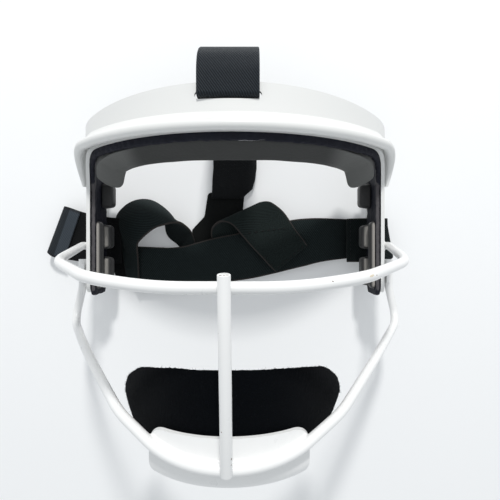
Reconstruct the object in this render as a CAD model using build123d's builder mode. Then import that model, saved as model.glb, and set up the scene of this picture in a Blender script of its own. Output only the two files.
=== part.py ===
from build123d import *
from math import acos, asin, cos, degrees, pi, radians, sin, sqrt, tan
import os

# Softball face guard, lying on its back: X across the face, Y towards the forehead, Z forward.
# Z = 0 is the surface that the guard lies on, and X = 0 is its plane of symmetry.

# Shell: brow band and side arms, one moulding
wall = 2.2
brow_front = 98.0            # outer face of the band above the nose
brow_radius = 118.0          # band's curve across the forehead
brow_half = 85.2             # half width of that curve, where the temple bends begin
temple_radius = 45.0
arm_rear = 2.1               # rear edges stand on the strap folds
arm_front = 42.0
arm_drop = 28.0              # below the level of the face's middle
arm_corner = 8.0
band_low = 60.5              # lower edge of the band
band_top_front = 85.5
band_top_temple = 77.0
temple_station = 50.0        # where the band's top edge is lowest, before it turns down
ear_top = 64.0
ear_station = 14.0
ear_shoulder = 46.0
ear_round = 14.0
over = 20.0                  # how far a cutting body runs past what it cuts

# Rolled lip along the band's lower edge
lip_out = 4.4                # bead's centre outside the band's face
lip_rise = 1.8               # bead's centre above the lower edge
lip_radius = 3.0
lip_web_low = 3.6
lip_web_top = 11.0
lip_root = 0.6               # how deep the web stands in the wall
lip_stations = 7
lip_end_share = 0.3          # the lip's size where it runs out on the arm

# Slot in the band for the top strap
strap_slot_width = 34.4
strap_slot_height = 4.2
strap_slot_bar = 4.6         # band left above the slot
# Slots in the arms for the back strap
arm_slot_low = 8.0
arm_slot_high = 13.2
arm_slot_margin = 2.0        # beyond each edge of the strap
arm_slot_level = 7.0         # middle of the slot along the arm

# Cage wires
wire = 5.0
touch = 0.06                 # wires are drawn apart by this where they are welded
cheek_reach = 150.4
cheek_drop = 14.2
cheek_shoulder_half = 54.0
cheek_shoulder_drop = 10.6
cheek_shoulder_reach = 146.5
cheek_side_half = 90.5
cheek_side_drop = 5.6
cheek_side_reach = 94.0
cheek_foot_level = 2.8
cheek_foot_reach = 38.0
cheek_foot_end = 20.0

jaw_chin_drop = 90.8
jaw_cup_half = 36.0
jaw_cup_rise = 6.0
jaw_side_half = 82.0
jaw_side_drop = 55.6
jaw_side_reach = 77.5
jaw_cup_run = 24.0
jaw_bend_half = 105.6
jaw_bend_drop = 46.5
jaw_bend_reach = 37.0
jaw_foot_low = 24.0
jaw_foot_top = 6.0
jaw_foot_reach = 37.6

# How much of the shorter straight beside each bend goes into the bend
cheek_bend_shares = [0.49, 0.377, 0.271, 0.126]
jaw_bend_shares = [0.29, 0.437, 0.411, 0.105]

centre_above = 5.2           # centre bar's top end beyond the cheek bar
centre_below = 3.6           # and its lower end beyond the jaw bar

weld_length = 12.0
weld_size = 3.2
weld_side = 1.8              # beyond each side of the wire

# Chin plate behind the jaw bar
plate_wall = 2.2
plate_radius = 55.0          # outer face, round the chin
plate_reach = 132.4          # outer face at the middle
plate_half = 36.5
plate_top = 79.2             # below the level of the face's middle
plate_curl = 9.0             # lower edge rolls back under the chin
plate_curl_level = 94.6
plate_flange = 9.0
plate_corner = 8.0

# Chin pad and what holds it
patch = 1.4                  # hook patches
patch_gap = 0.3
chin_patch_width = 22.0
chin_patch_height = 12.0
chin_patch_turn = 19.0       # degrees from the middle to each patch
chin_patch_level = 88.0
chin_facing = 1.2
chin_foam = 8.0
chin_turn = 38.0             # degrees of tight bend each side of the middle
chin_side_radius = 90.0
chin_side_turn = 28.6        # degrees of slight bend beyond that
chin_half = 58.2
chin_top = 51.6
chin_crest = 6.8             # fall of the top edge from the middle to its corners
chin_top_half = 44.0
chin_side = 72.5
chin_low_half = 42.0
chin_low = 92.0
chin_bottom = 98.0
chin_round = 8.0
chin_draft = 6.0             # degrees that the foam draws in towards its back

# Foam inside the shell
foam_gap = 0.3
base_foam = 3.0
base_low = 56.6              # its lower edge shows below the band
base_top = 73.6
base_arm_front = 40.4
base_arm_rear = 15.6
base_arm_low = 26.6
base_ear = 58.0
base_ear_round = 10.0
base_corner = 5.0

# Forehead pad
pad_depth = 14.6
pad_low_front = 48.0
pad_low_end = 38.6
pad_top = 73.0
pad_end_station = 47.0       # how far forward of the table its ends stop
pad_round = 6.0
pad_backing = 1.0
brow_patch_width = 26.0
brow_patch_height = 12.0
brow_patch_run = 52.0
brow_patch_level = 64.0

# Moulded pads on the arms' foam
ridge_front = 38.6
ridge_rear = 30.0
ridge_top = 19.0
ridge_low = 25.6
ridge_height = 3.4
block_front = 27.6
block_rear = 16.8
block_height = 6.2
block_top = 17.6
block_split = 0.6
block_gap = 5.0
block_low = 24.6
temple_block_top = 45.6
temple_block_low = 28.8
temple_block_height = 7.4
block_round = 2.6
cushion_draft = 8.0          # degrees

# Elastic webbing
strap = 1.6
strap_width = 32.0
lay_gap = 0.3                # between layers
lay_bend = 3.0               # straps turn no tighter than this where they have room
hook_layer = 1.2             # hook patches sewn under the strap tabs
stitch_gap = 0.3

# Top strap, round the back of the head from the band's slot to the rear junction
top_shift = -1.7             # it sits a little to one side in its slot
top_lift = 89.0
top_crest = 113.6
top_crest_reach = 75.6
top_back = 116.6
top_back_reach = 46.0
top_heel = 103.0
top_heel_reach = 17.0
top_lay = 74.0
top_lay_reach = 5.0
top_end = 38.0
top_bend = 24.0
top_tab_length = 13.0

# Back strap, right half: its middle lies at the back of the head, its end folds round the right arm
right_lay = 6.4              # its middle stretch above the table
right_flat_half = 62.0
right_drop_half = 86.0
right_end = 72.0
right_hem = 18.0
hem_bend = 0.93
right_fold_out = 13.4        # outside the arm
fold_in = 15.0               # sewn end of each fold, inside the arm
# Places along the edges of that half, against the guard's half width
back_top_shares = [(-0.650, 0.024), (-0.409, 0.024), (-0.205, 0.076), (-0.010, 0.123),
                   (0.409, 0.225), (0.624, 0.235)]
back_low_shares = [(0.624, -0.092), (0.287, -0.186), (-0.010, -0.228), (-0.276, -0.280),
                   (-0.409, -0.304), (-0.650, -0.304)]

# Back strap, left half: fold round the left arm, twisted arch, turn over the right half, hook tab
left_fold_out = 42.0
fold_run = 45.0              # both layers are drawn this far in, then cut to the plan
left_fold_shares = [(-0.880, 0.246), (-1.003, 0.246), (-1.177, 0.281), (-1.290, 0.328),
                    (-1.418, -0.020), (-1.331, -0.072), (-1.003, -0.102), (-0.880, -0.102)]
left_fold_turn = 110.0       # degrees from +X to the line of the fold
# Both edges of the arch and of the turn, place by place, against the guard's half width
arch_far_shares = [(-0.936, -0.185, 0.031), (-0.936, -0.108, 0.030), (-0.936, -0.030, 0.029),
                   (-0.936, 0.050, 0.030), (-0.934, 0.128, 0.034), (-0.916, 0.215, 0.046),
                   (-0.884, 0.285, 0.058), (-0.803, 0.348, 0.076), (-0.706, 0.372, 0.082),
                   (-0.610, 0.346, 0.077), (-0.484, 0.260, 0.065), (-0.456, 0.190, 0.053),
                   (-0.482, 0.124, 0.043), (-0.458, 0.068, 0.038), (-0.425, 0.018, 0.036)]
arch_near_shares = [(-0.742, -0.305, 0.087), (-0.743, -0.238, 0.090), (-0.744, -0.168, 0.095),
                    (-0.744, -0.102, 0.100), (-0.744, -0.040, 0.108), (-0.736, 0.020, 0.135),
                    (-0.711, 0.055, 0.165), (-0.637, 0.113, 0.225), (-0.570, 0.154, 0.258),
                    (-0.510, 0.174, 0.266), (-0.455, 0.190, 0.246), (-0.400, 0.190, 0.185),
                    (-0.350, 0.142, 0.105), (-0.330, 0.092, 0.066), (-0.318, 0.044, 0.043)]
turn_left_shares = [(0.045, 0.091, 0.113), (-0.036, 0.186, 0.143), (-0.119, 0.208, 0.135),
                    (-0.184, 0.169, 0.092), (-0.194, 0.092, 0.047), (-0.143, 0.041, 0.037)]
turn_right_shares = [(0.293, 0.317, 0.113), (0.235, 0.368, 0.131), (0.158, 0.383, 0.117),
                     (0.088, 0.342, 0.078), (0.082, 0.287, 0.049), (0.123, 0.225, 0.037)]
under_shares = [(-0.338, 0.031), (-0.338, -0.205), (0.041, -0.184), (0.246, 0.082), (0.132, 0.215),
                (-0.134, 0.031)]
under_lay = 3.6
tab_turn = -48.2             # degrees from +X to the tab's length
tab_length = 33.5
tab_half = 17.2              # middle of its inner end from the plane of symmetry
tab_level = 19.7
tab_lay = 11.0
tab_corner = 4.0
tab_patch_length = 24.0
tab_patch_width = 26.0

# Rear junction: flared sheet that joins the top strap to the back strap
junction_shares = [(-0.225, 0.440), (0.056, 0.440), (0.041, 0.287), (0.020, -0.164), (-0.348, -0.164),
                   (-0.348, 0.154), (-0.253, 0.256)]
junction_round = 3.0

os.makedirs("parts", exist_ok=True)

brow_centre = brow_front - brow_radius
brow_turn = degrees(asin(brow_half / brow_radius))
temple_x = brow_half - temple_radius * sin(radians(brow_turn))
temple_z = brow_centre + (brow_radius - temple_radius) * cos(radians(brow_turn))
side_half = temple_x + temple_radius


def plan_edges(inset, rear):
    """Right half of the shell's plan curve, inset from its outer face, down to the rear."""
    brow = JernArc((0, brow_front - inset), (1, 0), brow_radius - inset, -brow_turn)
    temple = JernArc(brow @ 1, brow % 1, temple_radius - inset, brow_turn - 90)
    side = Line(temple @ 1, ((temple @ 1).X, rear))
    return brow @ 0, side @ 1


def plan_strip(outer, inner, rear):
    """Strip between two insets, seen in plan, from one rear edge round the brow to the other."""
    with BuildLine() as outline:
        outer_mid, outer_end = plan_edges(outer, rear)
        inner_mid, inner_end = plan_edges(inner, rear)
        Line(outer_mid, inner_mid)
        Line(outer_end, inner_end)
    make_face(outline.edges())
    mirror(about=Plane.YZ)


def plan_half_width(z, inset):
    """Distance from the plane of symmetry of the plan curve at height z over the table."""
    if z <= temple_z:
        return side_half - inset
    if z <= temple_z + temple_radius * cos(radians(brow_turn)):
        return temple_x + sqrt((temple_radius - inset) ** 2 - (z - temple_z) ** 2)
    return sqrt((brow_radius - inset) ** 2 - (z - brow_centre) ** 2)


def plan_place(run, inset):
    """Point and outward direction on the plan curve, run measured on the outer face from the middle."""
    side = 1 if run >= 0 else -1
    brow_run = brow_radius * radians(brow_turn)
    if abs(run) <= brow_run:
        turn = abs(run) / brow_radius
        x, z = sin(turn) * (brow_radius - inset), brow_centre + cos(turn) * (brow_radius - inset)
    else:
        turn = radians(brow_turn) + (abs(run) - brow_run) / temple_radius
        x, z = temple_x + sin(turn) * (temple_radius - inset), temple_z + cos(turn) * (temple_radius - inset)
    return side * x, z, side * sin(turn), cos(turn)


def level_plane(y):
    """Plane across the guard at height y on the face, its local Y along +Z."""
    return Plane(origin=(0, y, 0), x_dir=(1, 0, 0), z_dir=(0, -1, 0))


# Shell
band_slope = (band_top_front - band_top_temple) / (brow_front - temple_station)
lip_corner = temple_z + temple_radius * cos(radians(brow_turn)) - arm_front


def lip_profile(size):
    """Web and rolled bead, with the wall's face at local X = 0 and its lower edge at Y = 0."""
    bead_x, bead_y, bead = lip_out * size, lip_rise * size, lip_radius * size
    root, low, top = -lip_root, lip_web_low * size, lip_web_top * size
    with BuildLine() as outline:
        under = Line((root, low), (bead_x - bead, bead_y))
        roll = ThreePointArc(under @ 1, (bead_x, bead_y - bead), (bead_x + bead, bead_y))
        crown = ThreePointArc(
            roll @ 1,
            (bead_x + bead * cos(pi / 6), bead_y + bead * sin(pi / 6)),
            (bead_x + bead * cos(pi / 3), bead_y + bead * sin(pi / 3)),
        )
        hollow = ThreePointArc(crown @ 1, (bead_x / 2, (bead_y + bead + top) / 2 - bead / 3), (root, top))
        Line(hollow @ 1, under @ 0)
    make_face(outline.edges())


with BuildPart() as lip:
    with BuildSketch(Plane(origin=(0, band_low, brow_front), x_dir=(0, 0, 1), z_dir=(-1, 0, 0))):
        lip_profile(1)
    revolve(axis=Axis((0, 0, brow_centre), (0, 1, 0)), revolution_arc=brow_turn)
    for station in range(lip_stations):
        share = station / (lip_stations - 1)
        turn = radians(90 * share)
        z = arm_front + lip_corner * (1 - sin(turn))
        y = band_low - lip_corner * (1 - cos(turn))
        x = plan_half_width(z, 0)
        out = Vector(x - temple_x, 0, z - temple_z).normalized()
        up = Vector(0, cos(turn), -sin(turn))
        along = out.cross(up).normalized()
        with BuildSketch(Plane(origin=(x, y, z), x_dir=out, z_dir=along)):
            lip_profile(1 + (lip_end_share - 1) * share ** 2)
    loft()
    mirror(about=Plane.YZ)

with BuildPart() as shell:
    with BuildSketch(level_plane(band_top_front + over)):
        plan_strip(0, wall, arm_rear)
    extrude(amount=band_top_front + over + arm_drop)
    with BuildSketch(Plane.YZ):
        with BuildLine():
            front = brow_front + over
            FilletPolyline(
                (band_top_front + band_slope * over, front),
                (band_top_temple, temple_station),
                (ear_top, ear_station),
                (ear_shoulder, arm_rear),
                (-arm_drop, arm_rear),
                (-arm_drop, arm_front),
                (band_low, arm_front),
                (band_low, front),
                radius=[0, ear_round, ear_round, ear_round, arm_corner, arm_corner, lip_corner, 0],
                close=True,
            )
        make_face()
    extrude(amount=side_half + over, both=True, mode=Mode.INTERSECT)
    add(lip.part)
    slot_top = band_top_front - strap_slot_bar
    with BuildSketch(Plane.XY.offset(brow_front - wall - wall)):
        with Locations((top_shift, slot_top - strap_slot_height / 2)):
            SlotOverall(strap_slot_width, strap_slot_height)
    extrude(amount=over, mode=Mode.SUBTRACT)
    with BuildSketch(Plane.YZ):
        with Locations((arm_slot_level, (arm_slot_low + arm_slot_high) / 2)):
            SlotOverall(strap_width + 2 * arm_slot_margin, arm_slot_high - arm_slot_low)
    extrude(amount=side_half + over, both=True, mode=Mode.SUBTRACT)
shell.part.label = "shell"
export_step(shell.part, "parts/shell.step")

def wire_bends(corners, shares):
    """Bend radii along a wire, one for each of its inner corners."""
    points = [Vector(corner) for corner in corners]
    bends = []
    for n, share in enumerate(shares, 1):
        before, after = points[n] - points[n - 1], points[n + 1] - points[n]
        half_turn = radians(before.get_angle(after)) / 2
        bends.append(share * min(before.length, after.length) / tan(half_turn))
    return bends


# Cage: cheek bar, bowed in front of the face, its ends welded to the arms
wire_half = side_half + wire / 2 + touch
with BuildPart() as cheek_bar:
    with BuildLine() as cheek_path:
        corners = [
            (0, -cheek_drop, cheek_reach),
            (cheek_shoulder_half / 2, -cheek_drop, cheek_reach),
            (cheek_shoulder_half, -cheek_shoulder_drop, cheek_shoulder_reach),
            (cheek_side_half, -cheek_side_drop, cheek_side_reach),
            (wire_half, cheek_foot_level, cheek_foot_reach),
            (wire_half, cheek_foot_level, cheek_foot_end),
        ]
        FilletPolyline(*corners, radius=wire_bends(corners, cheek_bend_shares))
    with BuildSketch(Plane(origin=cheek_path.line @ 0, z_dir=cheek_path.line % 0)):
        Circle(wire / 2)
    sweep(path=cheek_path.line)
    mirror(about=Plane.YZ)
cheek_bar.part.label = "cheek_bar"
export_step(cheek_bar.part, "parts/cheek_bar.step")

# Jaw bar: a flat arc across the chin plate, then back and up to the arms
plate_axis = plate_reach - plate_radius
jaw_arc = plate_radius + wire / 2 + touch
jaw_reach = plate_axis + jaw_arc
jaw_cup_reach = plate_axis + sqrt(jaw_arc ** 2 - jaw_cup_half ** 2)
with BuildPart() as jaw_bar:
    with BuildLine() as jaw_path:
        cup_end = Vector(jaw_cup_half, jaw_cup_rise - jaw_chin_drop, jaw_cup_reach)
        cup = TangentArc((0, -jaw_chin_drop, jaw_reach), cup_end, tangent=(1, 0, 0))
        cup_lead = cup_end + (cup % 1) * jaw_cup_run
        corners = [
            cup_end,
            cup_lead,
            (jaw_side_half, -jaw_side_drop, jaw_side_reach),
            (jaw_bend_half, -jaw_bend_drop, jaw_bend_reach),
            (wire_half, -jaw_foot_low, jaw_foot_reach),
            (wire_half, -jaw_foot_top, jaw_foot_reach),
        ]
        FilletPolyline(*corners, radius=wire_bends(corners, jaw_bend_shares))
    with BuildSketch(Plane(origin=(0, -jaw_chin_drop, jaw_reach), z_dir=(1, 0, 0))):
        Circle(wire / 2)
    sweep(path=jaw_path.line)
    mirror(about=Plane.YZ)
jaw_bar.part.label = "jaw_bar"
export_step(jaw_bar.part, "parts/jaw_bar.step")

# Centre bar, welded on the front of both
rise = (cheek_reach - jaw_reach) / (jaw_chin_drop - cheek_drop)
bar_lean = Vector(0, 1, rise).normalized()
bar_out = Vector(0, -rise, 1).normalized()
bar_foot = Vector(0, -jaw_chin_drop, jaw_reach) + bar_out * (wire + touch) - bar_lean * centre_below
bar_length = (jaw_chin_drop - cheek_drop) * sqrt(1 + rise ** 2) + centre_below + centre_above
with BuildPart() as centre_bar:
    with BuildSketch(Plane(origin=bar_foot, x_dir=(1, 0, 0), z_dir=bar_lean)):
        Circle(wire / 2)
    extrude(amount=bar_length)
centre_bar.part.label = "centre_bar"
export_step(centre_bar.part, "parts/centre_bar.step")

# Chin plate: a sheet curved round the chin, its lower edge rolled back under it
with BuildPart() as chin_plate:
    with BuildSketch(Plane.YZ) as plate_section:
        with BuildLine():
            face = Line((-plate_top, plate_reach), (-plate_curl_level, plate_reach))
            curl = JernArc(face @ 1, (-1, 0), plate_curl, 90)
            flange = Line(curl @ 1, curl @ 1 - Vector(0, plate_flange, 0))
            Line(flange @ 1, flange @ 1 + Vector(plate_wall, 0, 0))
            inner_flange = Line(flange @ 1 + Vector(plate_wall, 0, 0), curl @ 1 + Vector(plate_wall, 0, 0))
            inner_curl = JernArc(inner_flange @ 1, (0, 1), plate_curl - plate_wall, -90)
            inner_face = Line(inner_curl @ 1, (-plate_top, plate_reach - plate_wall))
            Line(inner_face @ 1, face @ 0)
        make_face()
    plate_spin = degrees(asin(plate_half / plate_radius)) + plate_corner
    revolve(axis=Axis((0, 0, plate_axis), (0, 1, 0)), revolution_arc=plate_spin)
    mirror(about=Plane.YZ)
    plate_fall = plate_curl_level + plate_curl - plate_top
    with BuildSketch(Plane.XY.offset(plate_axis)):
        with Locations((0, -plate_top - plate_fall / 2)):
            RectangleRounded(2 * plate_half, plate_fall, plate_corner)
    extrude(amount=plate_radius + over, mode=Mode.INTERSECT)
chin_plate.part.label = "chin_plate"
export_step(chin_plate.part, "parts/chin_plate.step")


def round_chin(inset, depth, turn, level, width, height):
    """Patch of the given size on a cylinder round the chin, turned from the middle."""
    with BuildSketch(Plane(origin=(0, -level, plate_axis)).rotated((0, turn, 0))) as outline:
        RectangleRounded(width, height, patch)
    extrude(outline.sketch, amount=plate_radius + over)
    with BuildSketch(level_plane(-level + height)) as ring:
        with Locations((0, plate_axis)):
            Circle(plate_radius - inset)
            Circle(plate_radius - inset - depth, mode=Mode.SUBTRACT)
    extrude(ring.sketch, amount=2 * height, mode=Mode.INTERSECT)


# Hook patches glued to the inside of the chin plate
with BuildPart() as chin_hooks:
    for turn in (-chin_patch_turn, chin_patch_turn):
        with BuildPart(mode=Mode.PRIVATE) as one:
            seat_inset = plate_wall + patch_gap / 2
            round_chin(seat_inset, patch, turn, chin_patch_level, chin_patch_width, chin_patch_height)
        add(one.part)
chin_hooks.part.label = "chin_hook_patches"
export_step(chin_hooks.part, "parts/chin_hook_patches.step")


def chin_edges(inset):
    """Right half of the chin pad's front face in plan, inset towards the chin."""
    round_part = JernArc((0, chin_front - inset), (1, 0), chin_radius - inset, -chin_turn)
    flat_part = JernArc(round_part @ 1, round_part % 1, chin_side_radius - inset, -chin_side_turn)
    return round_part @ 0, flat_part @ 1


def chin_pad_layer(front_inset, depth, draft):
    """Bean-shaped layer bent round the chin, its outline drawn in towards its back."""
    with BuildSketch(level_plane(over - chin_top)) as layer:
        with BuildLine() as outline:
            front_mid, front_end = chin_edges(front_inset)
            back_mid, back_end = chin_edges(front_inset + depth)
            Line(front_mid, back_mid)
            Line(front_end, back_end)
        make_face(outline.edges())
        mirror(about=Plane.YZ)
    extrude(layer.sketch, amount=chin_bottom - chin_top + 2 * over)
    with BuildSketch(Plane.XY.offset(chin_front)) as bean_shape:
        with BuildLine() as bean:
            crest = -chin_top - chin_crest
            right = [
                (chin_top_half / 2, -chin_top - chin_crest / 4),
                (chin_top_half, crest),
                (chin_half, -chin_side + chin_round),
                (chin_half, -chin_side - chin_round / 2),
                (chin_low_half, -chin_low),
            ]
            left = [(-x, y) for x, y in reversed(right)]
            bends = [chin_half, chin_round, chin_round, chin_round, chin_round]
            FilletPolyline(
                (0, -chin_top), *right, (0, -chin_bottom), *left,
                radius=[2 * chin_half, *bends, chin_half, *reversed(bends)],
                close=True,
            )
        make_face(bean.edges())
    extrude(bean_shape.sketch, amount=-(chin_half + over), taper=draft, mode=Mode.INTERSECT)


# Chin pad: foam with a brushed loop facing that grips the hook patches
chin_inset = plate_wall + patch_gap / 2 + patch + patch_gap
chin_radius = plate_radius - chin_inset
chin_front = plate_reach - chin_inset
with BuildPart() as chin_facing_layer:
    chin_pad_layer(0, chin_facing, 0)
chin_facing_layer.part.label = "chin_pad_facing"
export_step(chin_facing_layer.part, "parts/chin_pad_facing.step")

with BuildPart() as chin_pad:
    chin_pad_layer(chin_facing + patch_gap / 2, chin_foam, chin_draft)
chin_pad.part.label = "chin_pad_foam"
export_step(chin_pad.part, "parts/chin_pad_foam.step")

# Base foam, glued all round inside the shell
foam_inset = wall + foam_gap
with BuildPart() as base_liner:
    with BuildSketch(level_plane(base_top)):
        plan_strip(foam_inset, foam_inset + base_foam, base_arm_rear)
    extrude(amount=base_top + base_arm_low)
    with BuildSketch(Plane.YZ):
        with BuildLine():
            FilletPolyline(
                (base_top, brow_front + over),
                (base_top, temple_station),
                (base_ear, base_arm_rear),
                (-base_arm_low, base_arm_rear),
                (-base_arm_low, base_arm_front),
                (base_low, base_arm_front),
                (base_low, brow_front + over),
                radius=[0, ear_round, base_ear_round, base_corner, base_corner, lip_corner, 0],
                close=True,
            )
        make_face()
    extrude(amount=side_half + over, both=True, mode=Mode.INTERSECT)
base_liner.part.label = "base_liner"
export_step(base_liner.part, "parts/base_liner.step")

# Forehead pad: one moulded cushion, thickest on the brow, its ends hanging lower on the temples
hook_inset = foam_inset + base_foam + patch_gap / 2
pad_back = hook_inset + patch + patch_gap
pad_inset = pad_back + pad_backing + 2 * patch_gap
brow_run = brow_radius * radians(brow_turn)
pad_temple_turn = acos((pad_end_station - temple_z) / (temple_radius - pad_inset))
pad_run = brow_run + temple_radius * (pad_temple_turn - radians(brow_turn))
# Places along each half of the pad, and its size there against the full section
pad_run_shares = [0, 0.2, 0.4, 0.58, 0.74, 0.86, 0.95, 1]
pad_depth_shares = [0.96, 0.98, 1, 1, 0.98, 0.92, 0.78, 0.42]
pad_height_shares = [1, 1, 1, 1, 1, 0.98, 0.9, 0.62]
pad_sag_shares = [0, 0.01, 0.03, 0.06, 0.14, 0.34, 0.72, 1]
pad_edge_share = 0.48        # edge radius where the pad is thin


def pad_section(side, station, depth, inset):
    """Plane and size of a forehead pad section at one of its places."""
    run = side * pad_run * pad_run_shares[station]
    low = pad_low_front - (pad_low_front - pad_low_end) * pad_sag_shares[station]
    full = pad_top - low
    height = full * pad_height_shares[station]
    thick = depth * pad_depth_shares[station]
    x, z, out_x, out_z = plan_place(run, inset + thick / 2)
    middle = pad_top - full / 2
    plane = Plane(origin=(x, middle, z), x_dir=(out_x, 0, out_z), z_dir=(out_z, 0, -out_x))
    return plane, thick, height


def pad_stations():
    """Every place along the pad, from its left end to its right end."""
    count = len(pad_run_shares)
    return [(-1, count - 1 - n) for n in range(count - 1)] + [(1, n) for n in range(count)]


with BuildPart() as forehead_pad:
    for side, station in pad_stations():
        plane, thick, height = pad_section(side, station, pad_depth, pad_inset)
        with BuildSketch(plane):
            RectangleRounded(thick, height, min(pad_round, thick * pad_edge_share))
    loft()
forehead_pad.part.label = "forehead_pad"
export_step(forehead_pad.part, "parts/forehead_pad.step")

# Brushed backing on the pad, and the hook patches on the foam that it grips
with BuildPart() as pad_back_layer:
    with BuildSketch(level_plane(pad_top - pad_round)):
        plan_strip(pad_back, pad_back + pad_backing, base_arm_rear)
    extrude(amount=pad_top - pad_low_front - 2 * pad_round)
    with BuildSketch(Plane.YZ):
        with Locations(((pad_top + pad_low_front) / 2, pad_end_station + pad_round)):
            Rectangle(pad_top - pad_low_front, brow_front, align=(Align.CENTER, Align.MIN))
    extrude(amount=side_half + over, both=True, mode=Mode.INTERSECT)
pad_back_layer.part.label = "forehead_pad_backing"
export_step(pad_back_layer.part, "parts/forehead_pad_backing.step")

with BuildPart() as brow_hooks:
    for run in (-brow_patch_run, 0, brow_patch_run):
        x, z, out_x, out_z = plan_place(run, hook_inset + patch / 2)
        with BuildPart(mode=Mode.PRIVATE) as one:
            with BuildSketch(level_plane(pad_top)):
                plan_strip(hook_inset, hook_inset + patch, base_arm_rear)
            extrude(amount=pad_top - pad_low_front)
            seat = Plane(origin=(x, brow_patch_level, z), x_dir=(0, 1, 0), z_dir=(out_x, 0, out_z))
            with BuildSketch(seat):
                RectangleRounded(brow_patch_height, brow_patch_width, patch)
            extrude(amount=over, both=True, mode=Mode.INTERSECT)
        add(one.part)
brow_hooks.part.label = "brow_hook_patches"
export_step(brow_hooks.part, "parts/brow_hook_patches.step")


def arm_cushions(side, places, height, edge):
    """Moulded cushions on one arm's foam, each with drawn-in sides and a rounded crown."""
    inset = foam_inset + base_foam + patch_gap
    with BuildPart(mode=Mode.PRIVATE) as cushions:
        for top, low, front, rear in places:
            middle = max((front + rear) / 2 - temple_z, 0) / (temple_radius - inset)
            lean = asin(middle)
            x = temple_x + (temple_radius - inset) * cos(lean)
            seat = Plane(
                origin=(side * x, (top + low) / 2, (front + rear) / 2),
                x_dir=(0, 1, 0),
                z_dir=(-side * cos(lean), 0, -sin(lean)),
            )
            with BuildPart(mode=Mode.PRIVATE) as cushion:
                with BuildSketch(seat) as foot:
                    RectangleRounded(top - low, front - rear, edge)
                extrude(foot.sketch, amount=height, taper=cushion_draft)
                fillet(cushion.faces().sort_by(Axis(seat.origin, seat.z_dir))[-1].edges(), edge)
            add(cushion.part)
    return cushions.part


# Cushions on the arms: a front ridge, two rear blocks and a temple block on each
ridge_places = [(ridge_top, -ridge_low, ridge_front, ridge_rear)]
block_places = [
    (block_top, block_split, block_front, block_rear),
    (block_split - block_gap, -block_low, block_front, block_rear),
]
temple_places = [(temple_block_top, temple_block_low, block_front, block_rear)]
for side, side_name in ((-1, "left"), (1, "right")):
    for name, places, height in (
        ("arm_ridge", ridge_places, ridge_height),
        ("arm_blocks", block_places, block_height),
        ("temple_block", temple_places, temple_block_height),
    ):
        with BuildPart() as arm_pad:
            add(arm_cushions(side, places, height, block_round))
        arm_pad.part.label = side_name + "_" + name
        export_step(arm_pad.part, "parts/" + side_name + "_" + name + ".step")

# Welds: a wedge along each side of every wire's foot on the arms
weld_out = side_half + touch
with BuildPart() as arm_welds:
    for level, reach, length, depth in (
        (cheek_foot_level, cheek_foot_end + weld_length / 2 + touch, wire + 2 * weld_side, weld_length),
        (-(jaw_foot_low + jaw_foot_top) / 2, jaw_foot_reach, weld_length, wire + 2 * weld_side),
    ):
        with BuildPart(mode=Mode.PRIVATE) as one:
            with Locations((weld_out, level, reach)):
                Box(weld_size, length, depth, align=(Align.MIN, Align.CENTER, Align.CENTER))
            along = Axis.Z if depth == weld_length else Axis.Y
            outer = [e for e in one.edges().filter_by(along) if e.center().X > weld_out + touch]
            chamfer(outer, weld_size - touch, weld_side + touch)
            with Locations(Location((wire_half, level, reach), (0, 0, 0) if along == Axis.Z else (90, 0, 0))):
                Cylinder(wire / 2 + touch, 2 * weld_length, mode=Mode.SUBTRACT)
            mirror(about=Plane.YZ)
        add(one.part)
arm_welds.part.label = "arm_welds"
export_step(arm_welds.part, "parts/arm_welds.step")

# Top strap: up through the band's slot, over the bar above it, round the back, down to the junction
slot_level = slot_top - strap_slot_height + lay_gap + strap / 2
slot_front = brow_front + lay_gap + strap / 2
slot_back = brow_front - wall - (strap_slot_width / 2) ** 2 / (2 * brow_radius) - lay_gap - strap / 2
top_run = Vector(top_crest - top_lift, top_crest_reach - slot_front).normalized()
tab_step = strap + hook_layer + 2 * lay_gap
tab_base = Vector(top_lift + top_run.Y * tab_step, slot_front - top_run.X * tab_step)
tab_corner_run = (tab_base.Y - slot_back) / -top_run.Y
under_corner = tab_base + top_run * tab_corner_run
under_end = under_corner + top_run * lay_bend
with BuildPart() as top_strap:
    with BuildSketch(Plane.YZ.offset(top_shift)):
        with BuildLine():
            FilletPolyline(
                (under_end.X, under_end.Y),
                (under_corner.X, under_corner.Y),
                (slot_level, slot_back),
                (slot_level, slot_front),
                (top_lift, slot_front),
                (top_crest, top_crest_reach),
                (top_back, top_back_reach),
                (top_heel, top_heel_reach),
                (top_lay, top_lay_reach),
                (top_end, 2 * strap),
                radius=[lay_bend, strap, strap, lay_bend, top_bend / 2, top_bend, top_bend, top_bend],
            )
        trace(line_width=strap)
    extrude(amount=strap_width / 2, both=True)
top_strap.part.label = "top_strap"
export_step(top_strap.part, "parts/top_strap.step")

# Its end is a hook tab that grips the underside of the strap
tab_start = under_end + top_run * stitch_gap
with BuildPart() as top_tab:
    with BuildSketch(Plane.YZ.offset(top_shift)):
        with BuildLine():
            Line((tab_start.X, tab_start.Y), tuple(tab_start + top_run * top_tab_length)[:2])
        trace(line_width=strap)
    extrude(amount=strap_width / 2, both=True)
top_tab.part.label = "top_strap_tab"
export_step(top_tab.part, "parts/top_strap_tab.step")

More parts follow.
